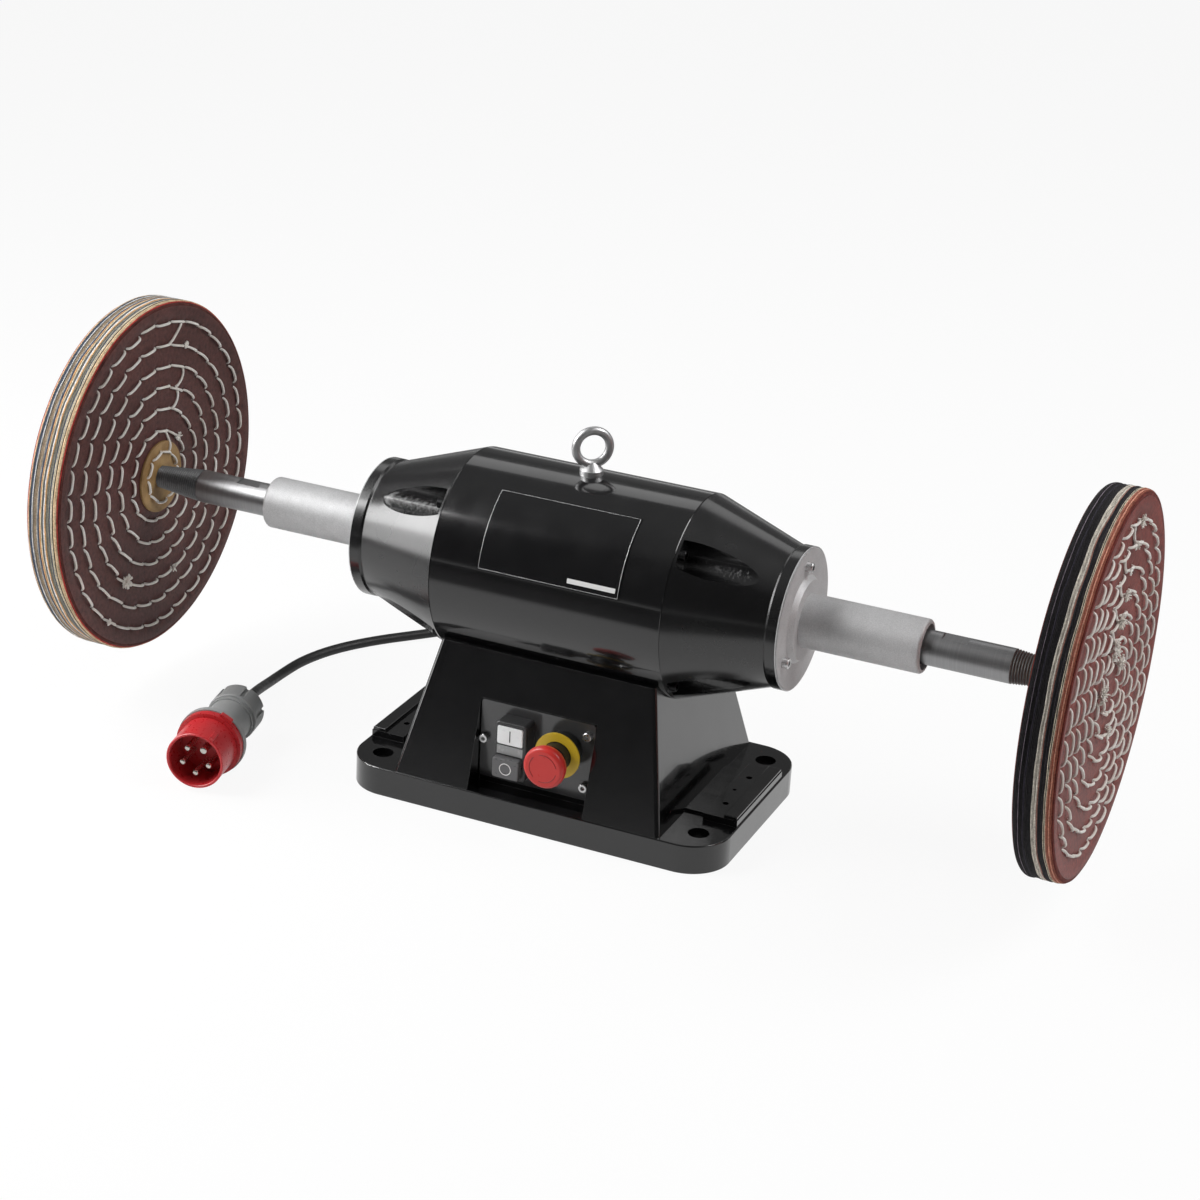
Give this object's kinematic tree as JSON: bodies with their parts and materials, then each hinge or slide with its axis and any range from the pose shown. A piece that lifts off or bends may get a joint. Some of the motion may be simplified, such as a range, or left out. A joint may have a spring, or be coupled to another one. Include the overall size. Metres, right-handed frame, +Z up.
{
  "type": "bench polishing machine",
  "caption": "Bench polishing motor on a cast pedestal: sewn cloth buffs on long tapered spindle ends, push-button switch, mushroom emergency stop, supply cord and plug.",
  "frame": {"origin": "on the bench under the middle of the spindle, at the base's underside", "axes": "+X along the spindle to the right-hand buff, -Y towards the operator, +Z up"},
  "size_m": [0.998, 0.533, 0.395],
  "materials": {
    "black_paint": "gloss black paint",
    "silver_paint": "silver paint",
    "shaft_steel": "turned and ground steel",
    "bearing_steel": "ground bearing steel",
    "core_steel": "stacked sheet steel",
    "zinc_steel": "zinc plated",
    "copper_wire": "varnished copper wire",
    "cast_aluminium": "cast",
    "cage_brass": "pressed brass",
    "buff_cloth": "stiffened and sewn cloth",
    "leather": "tan leather",
    "plate_grey": "dark grey coating",
    "plate_black": "black plate with a silver border",
    "switch_black": "moulded",
    "button_white": "moulded",
    "button_grey": "moulded",
    "window_grey": "moulded",
    "estop_yellow": "moulded",
    "estop_red": "moulded",
    "terminal_plastic": "moulded",
    "cord_rubber": "rubber sheath",
    "gland_black": "moulded",
    "plug_red": "moulded",
    "plug_grey": "moulded",
    "pin_nickel": "nickel plated"
  },
  "bodies": {
    "machine_frame": {"base_casting": "black_paint", "bottom_cover_plate": "zinc_steel", "bottom_cover_screws": "zinc_steel", "saddle_bolts": "zinc_steel", "motor_housing": "black_paint", "stator_core": "core_steel", "stator_windings": "copper_wire", "bearing_preload_ring": "bearing_steel", "control_plate": "plate_grey", "control_plate_screws": "zinc_steel", "switch_housing": "switch_black", "switch_window": "window_grey", "switch_contact_block": "switch_black", "estop_body": "switch_black", "estop_nut": "switch_black", "estop_ring": "estop_yellow", "estop_contact_block": "switch_black", "eye_bolt": "zinc_steel", "rating_plate": "plate_black", "terminal_block": "terminal_plastic", "cable_gland": "gland_black", "cord_inner_run": "cord_rubber", "cord_coil": "cord_rubber", "coil_tie": "gland_black", "cord_outer_run": "cord_rubber", "plug_shroud": "plug_red", "plug_pins": "pin_nickel", "plug_body": "plug_grey", "plug_gland_nut": "plug_grey", "left_end_bell": "black_paint", "left_bell_bolts": "zinc_steel", "left_spindle_sleeve": "silver_paint", "left_sleeve_screws": "zinc_steel", "left_bearing_outer_race": "bearing_steel", "right_end_bell": "black_paint", "right_bell_bolts": "zinc_steel", "right_spindle_sleeve": "silver_paint", "right_sleeve_screws": "zinc_steel", "right_bearing_outer_race": "bearing_steel"},
    "spindle": {"spindle_shaft": "shaft_steel", "rotor_core": "core_steel", "rotor_end_rings": "cast_aluminium", "left_bearing_inner_race": "bearing_steel", "left_buff_wheel": "buff_cloth", "left_buff_washer": "leather", "right_bearing_inner_race": "bearing_steel", "right_buff_wheel": "buff_cloth", "right_buff_washer": "leather"},
    "left_cage": {"left_bearing_cage": "cage_brass", "left_bearing_balls": "bearing_steel"},
    "right_cage": {"right_bearing_cage": "cage_brass", "right_bearing_balls": "bearing_steel"},
    "start_button": {"start_button": "button_white"},
    "stop_button": {"stop_button": "button_grey"},
    "estop_stem": {"estop_stem": "switch_black"},
    "estop_cap": {"estop_cap": "estop_red"}
  },
  "joints": [
    {"name": "spindle_spin", "type": "hinge", "parent": "machine_frame", "child": "spindle", "pos_m": [0, 0, 0.22], "axis": [1, 0, 0], "continuous": true},
    {"name": "left_cage_spin", "type": "hinge", "parent": "machine_frame", "child": "left_cage", "pos_m": [0, 0, 0.22], "axis": [1, 0, 0], "continuous": true},
    {"name": "right_cage_spin", "type": "hinge", "parent": "machine_frame", "child": "right_cage", "pos_m": [0, 0, 0.22], "axis": [1, 0, 0], "continuous": true},
    {"name": "start_press", "type": "slide", "parent": "machine_frame", "child": "start_button", "axis": [0, 1, 0], "range_m": [0, 0.004], "stiffness_N_per_m": 400},
    {"name": "stop_press", "type": "slide", "parent": "machine_frame", "child": "stop_button", "axis": [0, 1, 0], "range_m": [0, 0.004], "stiffness_N_per_m": 400},
    {"name": "estop_push", "type": "slide", "parent": "machine_frame", "child": "estop_stem", "axis": [0, 1, 0], "range_m": [0, 0.006]},
    {"name": "estop_twist", "type": "hinge", "parent": "estop_stem", "child": "estop_cap", "pos_m": [0.0285, -0.12, 0.083], "axis": [0, 1, 0], "range_deg": [0, 45], "stiffness_Nm_per_rad": 0.05}
  ],
  "couplings": [
    {"joint": "left_cage_spin", "follows": "spindle_spin", "ratio": 0.3972},
    {"joint": "right_cage_spin", "follows": "spindle_spin", "ratio": 0.3972}
  ]
}
